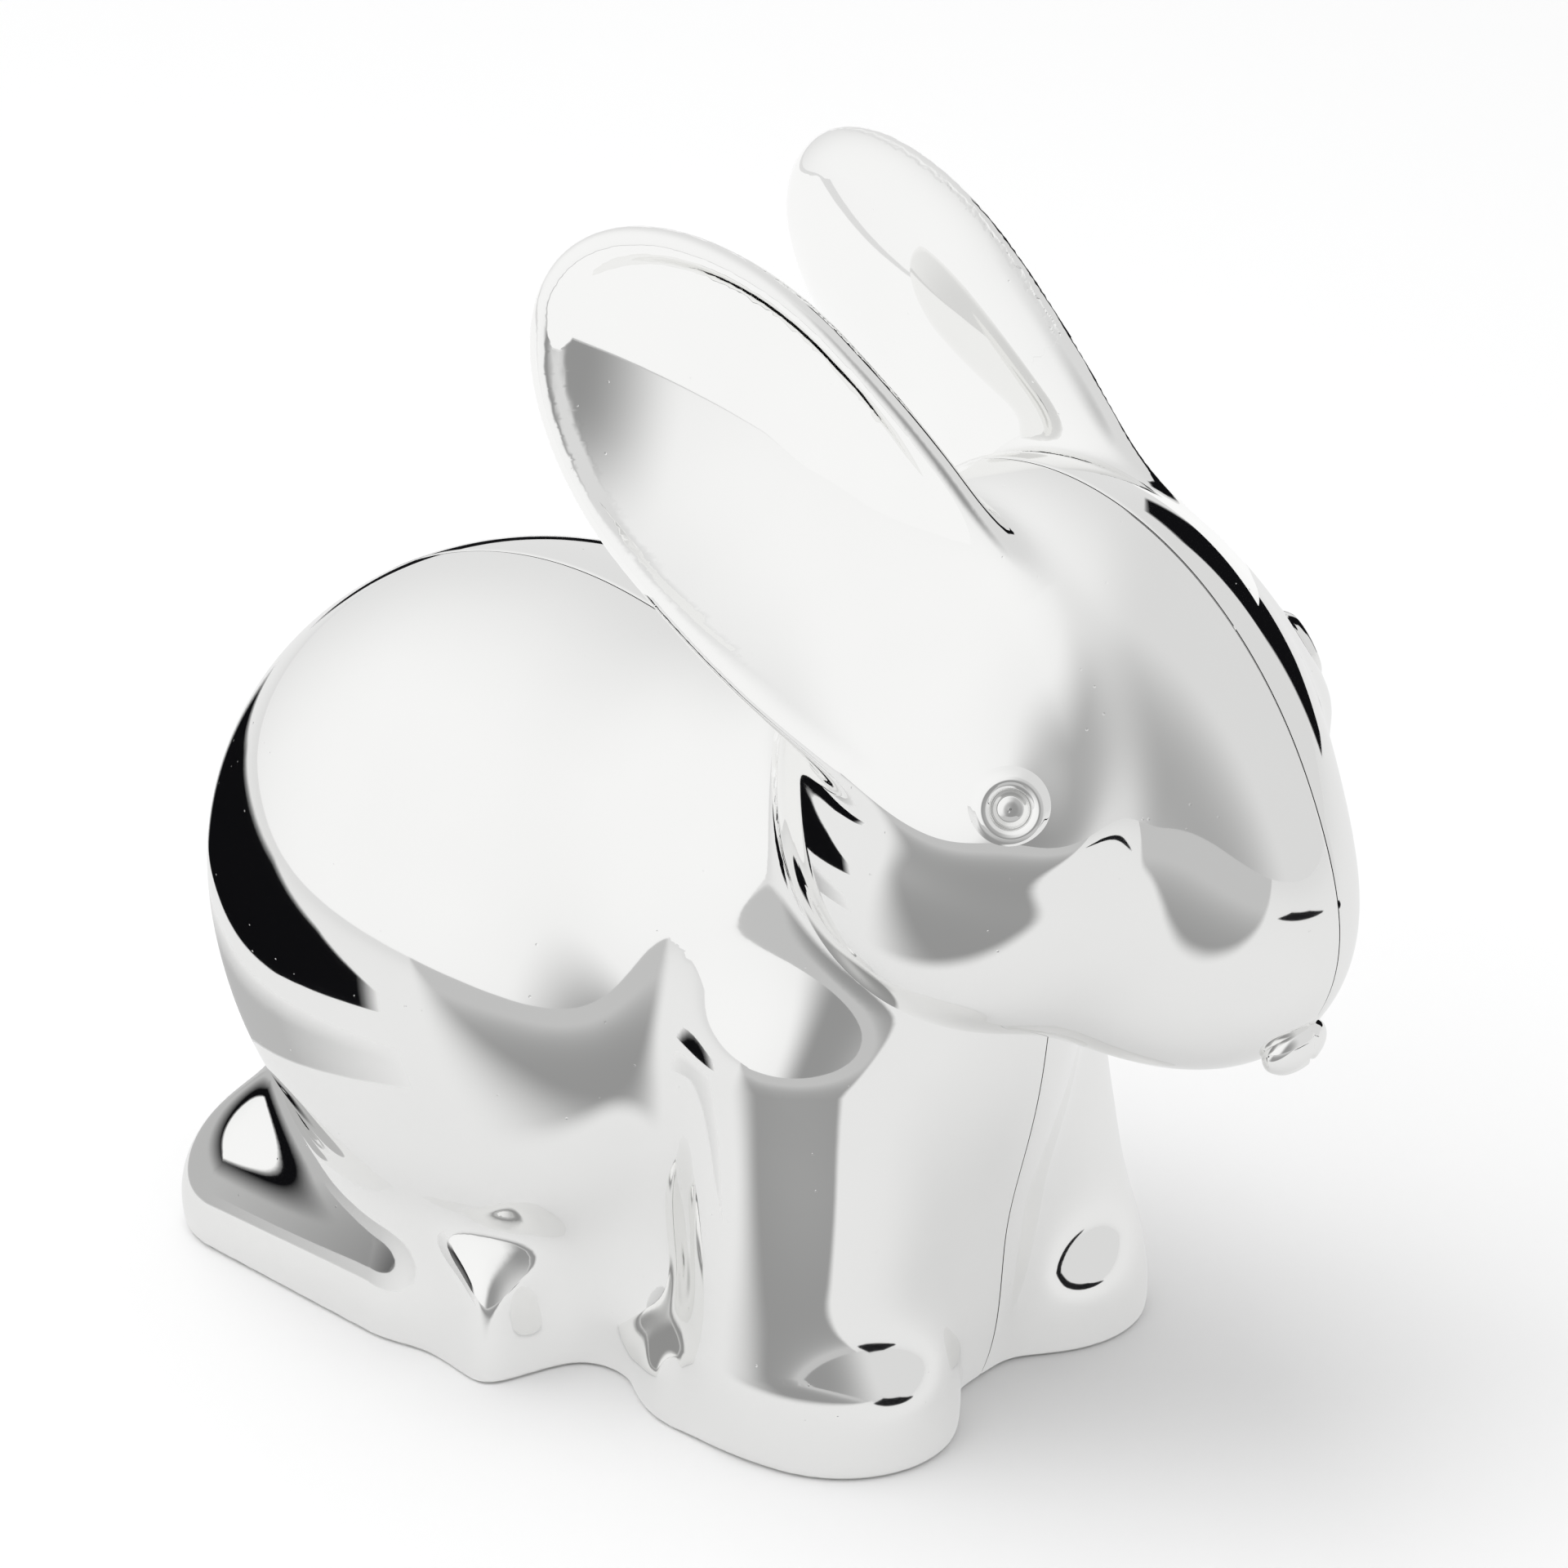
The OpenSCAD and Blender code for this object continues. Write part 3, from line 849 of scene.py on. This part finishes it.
# painted dark reflections: near-black glowing cards, seen only in the silver, stand in for the dark room
# round the set; the grey one paints a grey reflection low behind the rabbit
band("dark_left", "#0E0E10", 128, [160, 180, 205, 222, 238], [0, 0, 0, 3, 6], [36, 44, 42, 32, 16])
band("painted_grey_reflection_low", "#BDBDBD", 76, [150, 190, 240], [0, 0, 0], [20, 20, 14], soft=0.35)
band("dark_behind", "#141416", 300, [104, 112, 140, 150], [18, 8, 5, 15], [24, 50, 48, 22])
band("dark_right", "#1A1A1C", 330, [-14, -4, 10, 24], [2, 0, 0, 0], [3, 16, 14, 2])
band("dark_far", "#101012", 420, [72, 84, 94, 104], [30, 0, 0, 60], [150, 300, 320, 160])
# painted bright reflection: a white glowing card above the floor, seen only in the silver, under the ears
lying("painted_reflection_under_ears", upper_side_card("painted_reflection_under_ears_card", "#FFFFFF"),
      [(-300, -500, 80), (400, -500, 80), (400, 300, 80), (-300, 300, 80)])
# painted shade of the floor, seen only in the silver, lying just above the white paper
lying("painted_floor_shade", fading_card(),
      [(-CARD, -CARD, ABOVE), (CARD, -CARD, ABOVE), (CARD, CARD, ABOVE), (-CARD, CARD, ABOVE)])


def tent():
    """A white light tent: pale grey towards the rabbit's right and front, and white elsewhere."""
    world = bpy.data.worlds.new("light_tent")
    bpy.context.scene.world = world
    world.use_nodes = True
    tree = world.node_tree
    way = add(tree, "ShaderNodeTexCoord").outputs["Generated"]

    def facing(azimuth, elevation, start, end):
        """How far a direction looks towards a place on the tent: 0 at start degrees from it, 1 at end."""
        a, e = np.radians(azimuth), np.radians(elevation)
        dot = add(tree, "ShaderNodeVectorMath", {0: way}, operation="DOT_PRODUCT")
        dot.inputs[1].default_value = (np.cos(a) * np.cos(e), np.sin(a) * np.cos(e), np.sin(e))
        part = add(tree, "ShaderNodeMapRange", {"Value": dot.outputs["Value"]},
                   interpolation_type="SMOOTHSTEP")
        part.inputs["From Min"].default_value = np.cos(np.radians(start))
        part.inputs["From Max"].default_value = np.cos(np.radians(end))
        return part.outputs["Result"]

    grey = add(tree, "ShaderNodeMix", {"Factor": facing(-60, 10, 60, 6)}, data_type="RGBA")
    grey.inputs["A"].default_value = linear("#E0E0E0")
    grey.inputs["B"].default_value = linear("#989898")
    tone = add(tree, "ShaderNodeMix", {"Factor": facing(20, -20, 104, 80)}, data_type="RGBA")
    white = add(tree, "ShaderNodeMix", {"Factor": facing(-130, 30, 95, 10)}, data_type="RGBA")
    white.inputs["A"].default_value = linear("#E6E6E6")
    white.inputs["B"].default_value = linear("#FEFEFE")
    tree.links.new(white.outputs["Result"], tone.inputs["A"])
    tree.links.new(grey.outputs["Result"], tone.inputs["B"])
    tree.links.new(tone.outputs["Result"], tree.nodes["Background"].inputs["Color"])
    tree.nodes["Background"].inputs["Strength"].default_value = 1.0


tent()


def aimed(at, way):
    """The place of a light or camera at a point, looking along a way, both in metres."""
    return Matrix.Translation(at) @ way.to_track_quat("-Z", "Y").to_matrix().to_4x4()


def soft_box(name, at, aim, size, power):
    """A square soft light at a place, aimed at another, both in millimetres."""
    data = bpy.data.lights.new(name, "AREA")
    data.size = size * MM
    data.energy = power
    lamp = link(name, data)
    at, aim = (Vector(v) * MM for v in (at, aim))
    lamp.matrix_world = aimed(at, aim - at)
    lamp.visible_glossy = False


soft_box("top_light", (-150, -200, 900), (0, 0, 40), 700, 3.0)


def place_camera():
    """Camera at the front right, a little above, with a long lens."""
    turn, rise, away = np.radians(37), np.radians(24), 700
    aim = np.array([0.3, 0, 52.9])
    back = np.array([np.sin(turn) * np.cos(rise), -np.cos(turn) * np.cos(rise), np.sin(rise)])
    data = bpy.data.cameras.new("camera")
    data.lens = 180
    data.sensor_width = 36
    data.clip_end = 20
    camera = link("camera", data)
    camera.matrix_world = aimed(Vector((aim + back * away) * MM), Vector(-back))
    bpy.context.scene.camera = camera


place_camera()
bpy.context.scene.view_settings.view_transform = "Standard"
